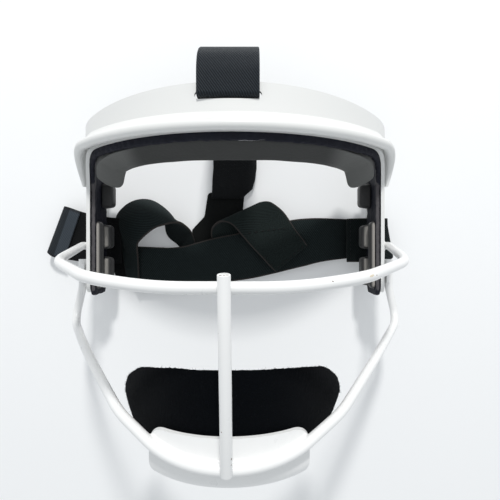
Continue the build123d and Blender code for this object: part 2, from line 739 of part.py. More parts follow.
# Right half of the back strap
lay = strap / 2 + touch
fold_lay = arm_slot_low + 2 * touch + 2 * lay_gap + strap
with BuildPart() as right_strap:
    with BuildSketch(Plane.XZ):
        with BuildLine():
            FilletPolyline(
                (right_hem - right_end, right_lay - strap - lay_gap),
                (-right_end, right_lay - strap - lay_gap),
                (-right_end, right_lay),
                (right_flat_half, right_lay),
                (right_drop_half, lay),
                (side_half + right_fold_out, lay),
                (side_half + right_fold_out, fold_lay),
                (side_half - fold_in, fold_lay),
                radius=[hem_bend, hem_bend, top_bend, top_bend, lay_bend, lay_bend],
            )
        trace(line_width=strap)
    extrude(amount=side_half, both=True)
    with BuildSketch(Plane.XY):
        with BuildLine():
            top_edge = [(x * side_half, y * side_half) for x, y in back_top_shares]
            low_edge = [(x * side_half, y * side_half) for x, y in back_low_shares]
            near, far = -right_end - over, side_half + right_fold_out + over
            Polyline(
                (near, top_edge[0][1]), *top_edge, (far, top_edge[-1][1]),
                (far, low_edge[0][1]), *low_edge, (near, low_edge[-1][1]), close=True,
            )
        make_face()
    extrude(amount=strap_width, mode=Mode.INTERSECT)
right_strap.part.label = "back_strap_right"
export_step(right_strap.part, "parts/back_strap_right.step")

# Left half: its fold round the left arm
with BuildPart() as left_fold:
    fold_along = Vector(cos(radians(left_fold_turn)), sin(radians(left_fold_turn)), 0)
    fold_across = Vector(sin(radians(left_fold_turn)), -cos(radians(left_fold_turn)), 0)
    with BuildSketch(Plane(origin=(-side_half, arm_slot_level, 0), x_dir=fold_across, z_dir=-fold_along)):
        with BuildLine():
            FilletPolyline(
                (fold_run, lay), (-left_fold_out + strap, lay),
                (-left_fold_out + strap, fold_lay), (fold_run, fold_lay),
                radius=[lay_bend, lay_bend],
            )
        trace(line_width=strap)
    extrude(amount=side_half, both=True)
    with BuildSketch(Plane.XY):
        with BuildLine():
            Polyline(*[(x * side_half, y * side_half) for x, y in left_fold_shares], close=True)
        make_face()
    extrude(amount=strap_width, mode=Mode.INTERSECT)
left_fold.part.label = "left_arm_fold"
export_step(left_fold.part, "parts/left_arm_fold.step")


def ribbon(far_shares, near_shares):
    """Webbing lofted between its two edges, given place by place."""
    ends = [(Vector(*f) * side_half, Vector(*n) * side_half) for f, n in zip(far_shares, near_shares)]
    middles = [(f + n) / 2 for f, n in ends]
    with BuildPart(mode=Mode.PRIVATE) as webbing:
        sections = []
        for n, (far_end, near_end) in enumerate(ends):
            across = (far_end - near_end).normalized()
            heading = middles[min(n + 1, len(ends) - 1)] - middles[max(n - 1, 0)]
            heading = heading - across * heading.dot(across)
            with BuildSketch(Plane(origin=middles[n], x_dir=across, z_dir=heading.normalized())) as section:
                Rectangle((far_end - near_end).length, strap)
            sections.append(section.sketch)
        loft(sections)
    return webbing.part


with BuildPart() as left_strap:
    add(ribbon(arch_far_shares, arch_near_shares))
left_strap.part.label = "back_strap_left"
export_step(left_strap.part, "parts/back_strap_left.step")

with BuildPart() as strap_turn:
    add(ribbon(turn_left_shares, turn_right_shares))
strap_turn.part.label = "strap_turn"
export_step(strap_turn.part, "parts/strap_turn.step")

# Stretch hidden under the right half, between the arch and the turn
with BuildPart() as under_strap:
    with BuildSketch(Plane.XY.offset(under_lay - strap / 2)):
        with BuildLine():
            Polyline(*[(x * side_half, y * side_half) for x, y in under_shares], close=True)
        make_face()
    extrude(amount=strap)
under_strap.part.label = "under_strap"
export_step(under_strap.part, "parts/under_strap.step")

# Hook tab on the front of the right half, and the hook patch sewn under it
tab_plane = Plane(origin=(tab_half, tab_level, tab_lay - strap / 2)).rotated((0, 0, tab_turn))
with BuildPart() as back_tab:
    with BuildSketch(tab_plane):
        with Locations((tab_length / 2, 0)):
            RectangleRounded(tab_length, strap_width - strap, tab_corner)
    extrude(amount=strap)
back_tab.part.label = "back_strap_tab"
export_step(back_tab.part, "parts/back_strap_tab.step")

with BuildPart() as tab_hooks:
    with BuildSketch(tab_plane.offset(-stitch_gap / 2)):
        with Locations((tab_length - tab_patch_length / 2 - strap, 0)):
            RectangleRounded(tab_patch_length, tab_patch_width, tab_corner / 2)
    extrude(amount=-hook_layer)
tab_hooks.part.label = "tab_hook_patch"
export_step(tab_hooks.part, "parts/tab_hook_patch.step")

# Rear junction
with BuildPart() as junction:
    with BuildSketch(Plane.XY):
        with BuildLine():
            FilletPolyline(*[(x * side_half, y * side_half) for x, y in junction_shares],
                           radius=junction_round, close=True)
        make_face()
    extrude(amount=strap)
junction.part.label = "rear_junction"
export_step(junction.part, "parts/rear_junction.step")
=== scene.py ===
import math
import random

import bmesh
import bpy
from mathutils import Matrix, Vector, noise


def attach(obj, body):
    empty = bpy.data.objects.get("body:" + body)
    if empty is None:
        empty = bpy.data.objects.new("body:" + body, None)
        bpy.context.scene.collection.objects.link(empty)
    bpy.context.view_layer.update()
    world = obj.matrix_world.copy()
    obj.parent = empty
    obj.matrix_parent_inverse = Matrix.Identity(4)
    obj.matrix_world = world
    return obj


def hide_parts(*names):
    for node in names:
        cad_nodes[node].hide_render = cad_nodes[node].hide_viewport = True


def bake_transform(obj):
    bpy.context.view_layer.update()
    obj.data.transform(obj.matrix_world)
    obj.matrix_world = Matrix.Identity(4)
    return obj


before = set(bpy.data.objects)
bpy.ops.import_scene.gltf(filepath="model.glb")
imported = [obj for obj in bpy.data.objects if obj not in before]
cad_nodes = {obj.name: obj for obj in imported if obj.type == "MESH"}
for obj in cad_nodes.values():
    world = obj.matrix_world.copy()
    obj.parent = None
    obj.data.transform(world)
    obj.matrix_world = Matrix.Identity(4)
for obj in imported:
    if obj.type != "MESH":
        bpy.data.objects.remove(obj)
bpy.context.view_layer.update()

# Camera.
# A phone held close above the guard, looking straight down at it, a little to the right of its middle.
bpy.ops.object.select_all(action="DESELECT")
bpy.ops.object.camera_add(location=(0.0094, 0, 0.300), rotation=(0, 0, 0))
camera = bpy.context.object
camera.data.sensor_width = 36
camera.data.lens = 28.8
camera.data.clip_start = 0.01
bpy.context.scene.camera = camera
bpy.context.scene.view_settings.view_transform = "Standard"

# Room light.
# A pale, even room and one small lamp high beyond the forehead end, so that shadows fall towards the chin.
room = bpy.data.worlds.new("room")
room.use_nodes = True
room_light = room.node_tree.nodes["Background"]
room_light.inputs["Color"].default_value = (0.93, 0.97, 1.0, 1)
room_light.inputs["Strength"].default_value = 0.66
bpy.context.scene.world = room
bpy.ops.object.light_add(type="AREA", location=(0.06, 0.95, 0.89))
lamp = bpy.context.object
lamp.data.size = 0.12
lamp.data.energy = 11
lamp.data.color = (1.0, 0.99, 0.97)
lamp.rotation_euler = (-lamp.location).to_track_quat("-Z", "Y").to_euler()

# Table.
# A plain white board that keeps the guard's soft shadow; it isn't part of the guard. Seen directly or in a
# reflection it is a little paler, with a faint even light of its own.
bpy.ops.mesh.primitive_plane_add(size=6, location=(0, 0, -0.0004))
table = bpy.context.object
table.name = "table"
board = bpy.data.materials.new("white_board")
board.use_nodes = True
tree = board.node_tree
board_shader = tree.nodes["Principled BSDF"]
board_shader.inputs["Base Color"].default_value = (0.86, 0.87, 0.88, 1)
board_shader.inputs["Roughness"].default_value = 0.6
seen_board = tree.nodes.new("ShaderNodeBsdfDiffuse")
seen_board.inputs["Color"].default_value = (0.76, 0.765, 0.77, 1)
bright_board = tree.nodes.new("ShaderNodeEmission")
bright_board.inputs["Color"].default_value = (0.95, 0.975, 1.0, 1)
bright_board.inputs["Strength"].default_value = 0.15
pale = tree.nodes.new("ShaderNodeAddShader")
tree.links.new(seen_board.outputs["BSDF"], pale.inputs[0])
tree.links.new(bright_board.outputs["Emission"], pale.inputs[1])
sight = tree.nodes.new("ShaderNodeLightPath")
seen = tree.nodes.new("ShaderNodeMath")
seen.operation = "ADD"
seen.use_clamp = True
tree.links.new(sight.outputs["Is Camera Ray"], seen.inputs[0])
mirrored = tree.nodes.new("ShaderNodeMath")
mirrored.operation = "ADD"
tree.links.new(sight.outputs["Is Glossy Ray"], mirrored.inputs[0])
tree.links.new(sight.outputs["Is Transmission Ray"], mirrored.inputs[1])
tree.links.new(mirrored.outputs["Value"], seen.inputs[1])
choice = tree.nodes.new("ShaderNodeMixShader")
tree.links.new(seen.outputs["Value"], choice.inputs["Fac"])
tree.links.new(board_shader.outputs["BSDF"], choice.inputs[1])
tree.links.new(pale.outputs["Shader"], choice.inputs[2])
tree.links.new(choice.outputs["Shader"], tree.nodes["Material Output"].inputs["Surface"])
table.data.materials.append(board)


# Brow band and arms.
# One white moulding with a rolled lip, smooth and slightly glossy, with faint handling marks. A strap slot is cut
# through the band, and one through each arm.
def clouds(material, place, scale, detail):
    """A noise texture laid over these coordinates."""
    made = material.node_tree.nodes.new("ShaderNodeTexNoise")
    made.inputs["Scale"].default_value = scale
    made.inputs["Detail"].default_value = detail
    material.node_tree.links.new(place, made.inputs["Vector"])
    return made


def emboss(material, height, depth):
    """Bumps of this depth on the whole surface."""
    nodes, links = material.node_tree.nodes, material.node_tree.links
    raised = nodes.new("ShaderNodeBump")
    raised.inputs["Strength"].default_value = 1
    raised.inputs["Distance"].default_value = depth
    links.new(height, raised.inputs["Height"])
    links.new(raised.outputs["Normal"], nodes["Principled BSDF"].inputs["Normal"])


def finish(name, colour, rough, sheen=0.0, mottle=0.04, patch=0.02, grain=0.0, grain_size=0.001, spec=0.5):
    """A surface whose colour and gloss drift a little over patches, with a fine grain raised on it."""
    rough_drift = 0.08
    made = bpy.data.materials.new(name)
    made.use_nodes = True
    nodes, links = made.node_tree.nodes, made.node_tree.links
    shader = nodes["Principled BSDF"]
    shader.inputs["Specular IOR Level"].default_value = spec
    shader.inputs["Sheen Weight"].default_value = sheen
    place = nodes.new("ShaderNodeTexCoord")
    patches = clouds(made, place.outputs["Object"], 1 / patch, 4)
    tint = nodes.new("ShaderNodeMix")
    tint.data_type = "RGBA"
    tint.inputs["A"].default_value = (*[c * (1 - mottle) for c in colour], 1)
    tint.inputs["B"].default_value = (*[min(c * (1 + mottle), 1) for c in colour], 1)
    links.new(patches.outputs["Fac"], tint.inputs["Factor"])
    links.new(tint.outputs["Result"], shader.inputs["Base Color"])
    gloss = nodes.new("ShaderNodeMapRange")
    gloss.inputs["To Min"].default_value = max(rough - rough_drift, 0.05)
    gloss.inputs["To Max"].default_value = min(rough + rough_drift, 1)
    links.new(patches.outputs["Fac"], gloss.inputs["Value"])
    links.new(gloss.outputs["Result"], shader.inputs["Roughness"])
    if grain:
        emboss(made, clouds(made, place.outputs["Object"], 1 / grain_size, 3).outputs["Fac"], grain)
    return made


def dress(piece, material):
    """The piece wears only this material."""
    piece.data.materials.clear()
    piece.data.materials.append(material)


moulding = finish("white_moulding", (0.765, 0.767, 0.755), 0.36, mottle=0.012, patch=0.03, grain=0.00003,
                  grain_size=0.004)
dress(cad_nodes["shell"], moulding)

# Wire cage and chin plate.
# Round steel wires and a pressed plate, welded together and dipped in thick white coating with a satin gloss. The
# centre bar's upper end is cut flat, with a softened rim, and stands a little above the cheek bar.
coating = finish("dipped_coating", (0.87, 0.87, 0.865), 0.30, mottle=0.015, patch=0.012, grain=0.00005,
                 grain_size=0.006)
for wire in ("cheek_bar", "jaw_bar", "arm_welds", "chin_plate"):
    dress(cad_nodes[wire], coating)
bar_foot, bar_end = Vector((0, -0.0902, 0.14025)), Vector((0, -0.0087, 0.15667))
bpy.ops.object.select_all(action="DESELECT")
bpy.ops.mesh.primitive_cylinder_add(vertices=48, radius=0.0025, depth=(bar_end - bar_foot).length,
                                    location=(bar_foot + bar_end) / 2,
                                    rotation=(bar_end - bar_foot).to_track_quat("Z", "Y").to_euler())
upright = bpy.context.object
upright.name = "upright_bar"
bpy.ops.object.transform_apply(location=True, rotation=True, scale=True)
rim = upright.modifiers.new("rim", "BEVEL")
rim.width = 0.0004
rim.segments = 3
rim.limit_method = "ANGLE"
bpy.ops.object.modifier_apply(modifier="rim")
bpy.ops.object.shade_smooth_by_angle(angle=math.radians(40))
dress(upright, coating)
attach(upright, "guard")
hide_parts("centre_bar")


# Welds.
# Wherever one wire lies on another, or on the chin plate, the coating fills the corner with a soft fillet.
def choose(*pieces):
    """Only these pieces are selected, and the first one is active."""
    bpy.ops.object.select_all(action="DESELECT")
    for piece in pieces:
        piece.select_set(True)
    bpy.context.view_layer.objects.active = pieces[0]


def joined(name, pieces):
    """These pieces as one, under this name."""
    choose(*pieces)
    if len(pieces) > 1:
        bpy.ops.object.join()
    pieces[0].name = name
    return pieces[0]


def copy_of(name, *node_names):
    """One merged mesh with the shapes of these CAD nodes."""
    copies = []
    for node_name in node_names:
        twin = bpy.data.objects.new(node_name + "_copy", cad_nodes[node_name].data.copy())
        bpy.context.scene.collection.objects.link(twin)
        copies.append(twin)
    piece = joined(name, copies)
    bpy.ops.object.mode_set(mode="EDIT")
    bpy.ops.mesh.select_all(action="SELECT")
    bpy.ops.mesh.remove_doubles(threshold=0.00001)
    bpy.ops.object.mode_set(mode="OBJECT")
    return piece


def apply_modifiers(piece):
    """Every modifier on the piece becomes part of its mesh."""
    choose(piece)
    for modifier in list(piece.modifiers):
        bpy.ops.object.modifier_apply(modifier=modifier.name)


def cut_away(piece, place, facing):
    """Everything of the piece beyond this plane goes, and the cut is closed."""
    choose(piece)
    bpy.ops.object.mode_set(mode="EDIT")
    bpy.ops.mesh.select_all(action="SELECT")
    bpy.ops.mesh.bisect(plane_co=place, plane_no=facing, clear_outer=True, use_fill=True)
    bpy.ops.object.mode_set(mode="OBJECT")


def remoulded(name, node_names, voxel, smoothing, keep=None):
    """The nodes' shapes run together in one skin with softened corners, inside the box keep if it is given."""
    piece = copy_of(name, *node_names)
    if keep:
        low, high = keep
        for axis in range(3):
            facing = [0, 0, 0]
            facing[axis] = 1
            cut_away(piece, high, facing)
            cut_away(piece, low, [-f for f in facing])
    skin = piece.modifiers.new("skin", "REMESH")
    skin.mode = "VOXEL"
    skin.voxel_size = voxel
    skin.use_smooth_shade = True
    soft = piece.modifiers.new("soft", "SMOOTH")
    soft.factor = 0.5
    soft.iterations = smoothing
    apply_modifiers(piece)
    return piece


def weld(name, node_names, middle, reach, voxel=0.0004, smoothing=12):
    """Coating fillet where these nodes meet: softened, then sunk, so that only the filled corners show."""
    low = [m - r for m, r in zip(middle, reach)]
    high = [m + r for m, r in zip(middle, reach)]
    piece = remoulded(name, node_names, voxel, smoothing, (low, high))
    sink = piece.modifiers.new("sink", "DISPLACE")
    sink.strength = -0.00004
    sink.mid_level = 0
    apply_modifiers(piece)
    dress(piece, coating)
    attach(piece, "guard")


weld("cheek_weld", ["cheek_bar", "centre_bar"], (0, -0.0142, 0.1528), (0.0080, 0.0040, 0.0070))
weld("jaw_weld", ["jaw_bar", "centre_bar"], (0, -0.0862, 0.1380), (0.0080, 0.0040, 0.0070))
weld("plate_weld", ["jaw_bar", "chin_plate"], (0, -0.0900, 0.1220), (0.0400, 0.0150, 0.0240),
     voxel=0.0005, smoothing=14)

# Flecks in the coating.
# A few dark and rusty pinholes, on the cut end of the centre bar, low on it, and along the cheek bar.
fleck_paint = finish("fleck", (0.16, 0.11, 0.07), 0.7, mottle=0.5, patch=0.0006, spec=0.2)
tan_paint = finish("rust_smear", (0.74, 0.66, 0.53), 0.6, mottle=0.12, patch=0.0008, spec=0.3)
film, smear_length = 0.00008, 0.001
flecks = []
# Each fleck: its bar, its place, its length and its width.
for bar, x, y, z, long, wide in (
    (upright, -0.0011, -0.0090, 0.1583, 0.0006, 0.0003), (upright, 0.0002, -0.0090, 0.1584, 0.0005, 0.0002),
    (upright, 0.0013, -0.0089, 0.1579, 0.0006, 0.0003), (upright, 0.0023, -0.0820, 0.1434, 0.0003, 0.0005),
    (upright, 0.0022, -0.0845, 0.1430, 0.0002, 0.0003), (upright, -0.0014, -0.0700, 0.1460, 0.0003, 0.0002),
    (cad_nodes["cheek_bar"], 0.0405, -0.0108, 0.1530, 0.0004, 0.0002),
    (cad_nodes["cheek_bar"], 0.0620, -0.0098, 0.1450, 0.0004, 0.0002),
    (cad_nodes["cheek_bar"], 0.0583, -0.0096, 0.1470, 0.0016, 0.0005),
):
    _, spot, facing, _ = bar.closest_point_on_mesh(Vector((x, y, z)))
    bpy.ops.object.select_all(action="DESELECT")
    bpy.ops.mesh.primitive_uv_sphere_add(segments=8, ring_count=5, radius=1, location=spot,
                                         rotation=facing.to_track_quat("Z", "X").to_euler())
    fleck = bpy.context.object
    smear, sideways = long > smear_length, abs(facing.x) >= 0.5
    fleck.scale = (long, wide, film) if smear or sideways else (wide, long, film)
    bpy.ops.object.transform_apply(location=True, rotation=True, scale=True)
    dress(fleck, tan_paint if smear else fleck_paint)
    flecks.append(fleck)
pinholes = joined("coating_flecks", flecks)
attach(pinholes, "guard")


# Base foam.
# A dark sheet of closed-cell foam glued inside the band and the arms. Its cut edge shows below the lip, a little
# ragged, with a thin broken pale line near the middle, and a painted highlight on its front edge on each arm.
def own_place(material):
    """The piece's own coordinates, whole and axis by axis."""
    nodes, links = material.node_tree.nodes, material.node_tree.links
    place = nodes.new("ShaderNodeTexCoord")
    split = nodes.new("ShaderNodeSeparateXYZ")
    links.new(place.outputs["Object"], split.inputs["Vector"])
    return place.outputs["Object"], split.outputs


def maths(material, operation, *values):
    """The result of this operation on these values, each a number or another node's output."""
    made = material.node_tree.nodes.new("ShaderNodeMath")
    made.operation = operation
    for n, value in enumerate(values):
        if isinstance(value, (int, float)):
            made.inputs[n].default_value = value
        else:
            material.node_tree.links.new(value, made.inputs[n])
    return made.outputs["Value"]


def ramp(material, value, start, end, easing="LINEAR"):
    """A result that goes from 0 to 1 while the value goes from start to end."""
    made = material.node_tree.nodes.new("ShaderNodeMapRange")
    made.interpolation_type = easing
    made.inputs["From Min"].default_value = start
    made.inputs["From Max"].default_value = end
    material.node_tree.links.new(value, made.inputs["Value"])
    return made.outputs["Result"]


def overlay(material, colour, masks):
    """The colour laid over the material's own wherever all the masks are 1."""
    nodes, links = material.node_tree.nodes, material.node_tree.links
    mask = masks[0]
    for other in masks[1:]:
        mask = maths(material, "MULTIPLY", mask, other)
    base = nodes["Principled BSDF"].inputs["Base Color"]
    laid = nodes.new("ShaderNodeMix")
    laid.data_type = "RGBA"
    laid.inputs["B"].default_value = (*colour, 1)
    links.new(mask, laid.inputs["Factor"])
    links.new(base.links[0].from_socket, laid.inputs["A"])
    links.new(laid.outputs["Result"], base)


def colour_band(material, colour, level, fade, inner, outer, top=1.0):
    """The colour laid over the foam between two levels, and between two distances from the middle."""
    _, axis = own_place(material)
    side = maths(material, "ABSOLUTE", axis["X"])
    overlay(material, colour, [ramp(material, value, start, end, "SMOOTHSTEP") for value, start, end in (
        (axis["Z"], level - fade, level), (axis["Z"], top + fade, top),
        (side, inner, inner + fade), (side, outer + fade, outer))])


def ragged(piece, amount, size):
    """Small uneven bumps all over, as on cut foam."""
    for vertex in piece.data.vertices:
        vertex.co += noise.noise_vector(vertex.co / size) * amount


noise.seed_set(7)
sheet_foam = finish("navy_sheet_foam", (0.0075, 0.0085, 0.016), 0.75, mottle=0.3, patch=0.004, grain=0.00025,
                    grain_size=0.0012, spec=0.3)
# The pale line is thin and broken: where it starts and stops across X, its level, half its height and its top.
pale_line_start, pale_line_stop = (0.0028, 0.0040), (0.0175, 0.0110)
pale_line_level, pale_line_half, pale_line_top = 0.0936, 0.00028, 0.0575
place, axis = own_place(sheet_foam)
overlay(sheet_foam, (0.9, 0.9, 0.92), [
    ramp(sheet_foam, axis["X"], *pale_line_start), ramp(sheet_foam, axis["X"], *pale_line_stop),
    maths(sheet_foam, "COMPARE", axis["Z"], pale_line_level, pale_line_half),
    maths(sheet_foam, "LESS_THAN", axis["Y"], pale_line_top), clouds(sheet_foam, place, 900, 2).outputs["Fac"]])
# Painted highlight: a paler band on the foam's front edge on each arm, where light from above falls on it.
colour_band(sheet_foam, (0.08, 0.075, 0.08), level=0.0398, fade=0.0005, inner=0.0904, outer=0.0932, top=0.0410)
liner = remoulded("foam_liner", ["base_liner"], voxel=0.0009, smoothing=2)
stretched_below, stretch = -0.020, 0.5
for vertex in liner.data.vertices:
    vertex.co.y += min(vertex.co.y - stretched_below, 0) * stretch
ragged(liner, amount=0.00045, size=0.003)
dress(liner, sheet_foam)
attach(liner, "guard")
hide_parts("base_liner")

# Hook patches.
# Small stiff pads of moulded hooks, glued to the foam and to the chin plate, and one sewn under the strap tab.
hooks = finish("hook_tape", (0.012, 0.012, 0.014), 0.6, mottle=0.2, grain=0.0003, grain_size=0.0008)
for node_name in ("chin_hook_patches", "brow_hook_patches", "tab_hook_patch"):
    dress(cad_nodes[node_name], hooks)

# Forehead pad.
# A soft moulded cushion, grey and matt, fullest along its middle, with a brushed cloth back that grips the hook
# patches.
cushion_foam = finish("cushion_foam", (0.029, 0.030, 0.029), 0.62, sheen=0.1, mottle=0.14, patch=0.012,
                      grain=0.00012, grain_size=0.0016, spec=0.35)
# The cushion is paler towards both ends.
colour_band(cushion_foam, (0.110, 0.112, 0.108), level=0.0, fade=0.014, inner=0.052, outer=0.2)


def band_place(run, inset):
    """Place (x, z) in millimetres this far along the band from its middle and this far in from its outer face."""
    brow_radius, brow_z, brow_run, brow_turn = 118, -20, 95.2, math.radians(46.22)
    temple_radius, temple_x, temple_z = 45, 52.708, 30.506
    side, run = math.copysign(1, run), abs(run)
    if run <= brow_run:
        turn, radius = run / brow_radius, brow_radius - inset
        return side * math.sin(turn) * radius, math.cos(turn) * radius + brow_z
    turn, radius = brow_turn + (run - brow_run) / temple_radius, temple_radius - inset
    return side * (temple_x + math.sin(turn) * radius), temple_z + math.cos(turn) * radius


def at_run(stations, run, column):
    """The column's value at this distance along the band, between the stations listed."""
    for first, last in zip(stations, stations[1:]):
        if run <= last[0]:
            t = (run - first[0]) / (last[0] - first[0])
            return first[column] * (1 - t) + last[column] * t
    return stations[-1][column]


# Each station: run, lower edge at the band, lower edge at the head, how far the lower face swells between them.
pad_stations = ((0, 57.3, 49.4, 0.5), (25, 57.2, 49.8, 0.5), (50, 56.8, 50.3, 0.5), (70, 56.3, 50.3, 0.6),
                (86, 55.4, 49.9, 0.8), (97, 54.0, 49.0, 1.4), (106, 50.0, 43.5, 3.4), (112, 45.5, 39.5, 2.6),
                (117, 43.0, 39.0, 1.5))
# Each point: share of the way from the band to the head, and of the way from the lower face to the top.
pad_section = ((0.02, 0.065), (0.0, 0.03), (0.03, 0.0), (0.15, 0.0), (0.35, 0.0), (0.6, 0.0), (0.8, 0.0),
               (0.93, 0.01), (0.99, 0.06), (1.0, 0.15), (1.0, 0.4), (1.0, 0.7), (0.99, 0.92), (0.93, 0.985),
               (0.8, 1.0), (0.5, 1.0), (0.3, 1.0), (0.2, 0.985), (0.168, 0.93), (0.165, 0.7), (0.165, 0.4),
               (0.165, 0.15), (0.14, 0.085))
# Half the pad's length along the band, the length of a rounded end, the pad's top, how far in from the band's outer
# face it starts and how thick it is. Then the set-back above its rim, which dies away towards the ends, and the point
# that each end closes on.
pad_reach, pad_end, pad_top, pad_inset, pad_depth = 117, 9, 73, 6.1, 17.3
setback_share, setback_run, setback_fade = 0.25, 97, 15
end_inset, end_level = 13, 48
bpy.ops.object.select_all(action="DESELECT")
bpy.ops.mesh.primitive_uv_sphere_add(segments=len(pad_section), ring_count=96, radius=1)
brow_pad = bpy.context.object
brow_pad.name = "forehead_cushion"
for vertex in brow_pad.data.vertices:
    run = vertex.co.z * pad_reach
    point = (math.atan2(vertex.co.y, vertex.co.x) / math.tau * len(pad_section)) % len(pad_section)
    depth, height = pad_section[round(point) % len(pad_section)]
    if depth < setback_share:
        depth *= min(max((setback_run - abs(run)) / setback_fade, 0), 1)
    at_band, at_head, swell = (at_run(pad_stations, abs(run), column) for column in (1, 2, 3))
    low = at_band * (1 - depth) + at_head * depth
    low -= swell * 4 * depth * (1 - depth)
    y, inset = low + (pad_top - low) * height, pad_inset + pad_depth * depth
    over = max(abs(run) - (pad_reach - pad_end), 0) / pad_end
    shrink = math.sqrt(max(1 - over * over, 0))
    inset, y = end_inset + (inset - end_inset) * shrink, end_level + (y - end_level) * shrink
    x, z = band_place(run, inset)
    vertex.co = Vector((x, y, z)) / 1000
bpy.ops.object.mode_set(mode="EDIT")
bpy.ops.mesh.select_all(action="SELECT")
bpy.ops.mesh.remove_doubles(threshold=0.00002)
bpy.ops.mesh.normals_make_consistent(inside=False)
bpy.ops.object.mode_set(mode="OBJECT")
plump = brow_pad.modifiers.new("plump", "SUBSURF")
plump.levels = plump.render_levels = 2
apply_modifiers(brow_pad)
bpy.ops.object.shade_smooth()
ragged(brow_pad, amount=0.0004, size=0.018)
dress(brow_pad, cushion_foam)
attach(brow_pad, "forehead_pad")
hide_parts("forehead_pad")
brushed = finish("brushed_cloth", (0.0012, 0.0018, 0.0028), 0.95, sheen=0.02, mottle=0.75, patch=0.0009,
                 grain=0.0004, grain_size=0.0005, spec=0.05)
brow_cloth = remoulded("forehead_backing", ["forehead_pad_backing"], voxel=0.0006, smoothing=1,
                       keep=((-0.069, 0.0592, 0), (0.069, 0.1, 0.1)))
dress(brow_cloth, brushed)
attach(brow_cloth, "forehead_pad")
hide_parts("forehead_pad_backing")

# Arm cushions.
# Moulded ridges and blocks of the same soft foam on each arm, dark at the sides. A painted highlight of pale brownish
# grey lies on the front faces of the ridges and blocks, and a painted shade on the temple blocks' front faces next to
# the arm. The temple blocks' lower corners next to the arm sit a little higher.
corner_x, corner_z, corner_y, corner_reach, corner_lift = 0.0865, 0.0240, 0.038, 0.004, 0.5
corner_fade_x, corner_fade_z = 0.001, 0.002
# Each kind: its name, the level and the two sides of its band of painted light (highlight on the ridge and blocks,
# shade on the temple block), and the colour there.
for part, level, inner, outer, colour in (
    ("arm_ridge", 0.0386, 0.0886, 0.0916, (0.36, 0.34, 0.315)),
    ("arm_blocks", 0.0276, 0.0866, 0.0893, (0.42, 0.40, 0.37)),
    ("temple_block", 0.0276, 0.0905, 0.0925, (0.014, 0.014, 0.016)),
):
    arm_foam = finish(part + "_foam", (0.024, 0.0235, 0.024), 0.5, sheen=0.1, mottle=0.15, patch=0.008,
                      grain=0.0001, grain_size=0.0015, spec=0.4)
    colour_band(arm_foam, colour, level, fade=0.0012, inner=inner, outer=outer)
    for arm in ("left", "right"):
        pad = remoulded(arm + "_" + part + "_cushion", [arm + "_" + part], voxel=0.0005, smoothing=7)
        if part == "temple_block":
            for vertex in pad.data.vertices:
                x, y, z = vertex.co
                outside = min(max((abs(x) - corner_x) / corner_fade_x, 0), 1)
                low_down = min(max((corner_z - z) / corner_fade_z, 0), 1)
                near_arm = outside * low_down
                vertex.co.y += max(min(y - corner_y, corner_reach), 0) * corner_lift * near_arm
        dress(pad, arm_foam)
        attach(pad, "guard")
        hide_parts(arm + "_" + part)

# Chin pad.
# Grey-green foam with a black brushed loop cloth on its front, pressed onto the hook patches inside the chin plate.
chin_foam = finish("chin_foam", (0.06, 0.068, 0.06), 0.85, mottle=0.2, patch=0.003, grain=0.0002,
                   grain_size=0.001)


def lift_edge(piece, shifts, lower):
    """Moves the piece's upper edge by these amounts (x, shift in millimetres), less lower, fading out below it."""
    fade, strip_width = 0.012, 0.0015
    tops = {}
    for vertex in piece.data.vertices:
        strip = round(vertex.co.x / strip_width)
        tops[strip] = max(tops.get(strip, -1), vertex.co.y)
    for vertex in piece.data.vertices:
        x = vertex.co.x * 1000
        shift = shifts[0][1] if x < shifts[0][0] else shifts[-1][1]
        for first, last in zip(shifts, shifts[1:]):
            if first[0] <= x <= last[0]:
                shift = first[1] + (last[1] - first[1]) * (x - first[0]) / (last[0] - first[0])
        near = max(1 - (tops[round(vertex.co.x / strip_width)] - vertex.co.y) / fade, 0)
        vertex.co.y += (shift / 1000 - lower) * near * near * (3 - 2 * near)


# Places across X, and how far the upper edge moves there.
chin_edge = ((-57.5, -5.5), (-54, -2.3), (-50, -0.5), (-46, 1.0), (-39, 1.8), (-27, 1.5), (-14.5, 0.5), (-4.8, 0),
             (11.6, 0.4), (22.7, 1.0), (35, 2.0), (45.5, 1.8), (49.5, 0.6), (56, -3.6), (58, -7))
chin_pad = remoulded("chin_foam_cushion", ["chin_pad_foam"], voxel=0.0009, smoothing=6)
lift_edge(chin_pad, chin_edge, lower=0.0013)
ragged(chin_pad, amount=0.0003, size=0.006)
dress(chin_pad, chin_foam)
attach(chin_pad, "chin_pad")
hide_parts("chin_pad_foam")
chin_cloth = remoulded("chin_loop_cloth", ["chin_pad_facing"], voxel=0.00055, smoothing=2)
lift_edge(chin_cloth, chin_edge, lower=0)
ragged(chin_cloth, amount=0.00014, size=0.0009)
dress(chin_cloth, brushed)
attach(chin_cloth, "chin_pad")
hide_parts("chin_pad_facing")

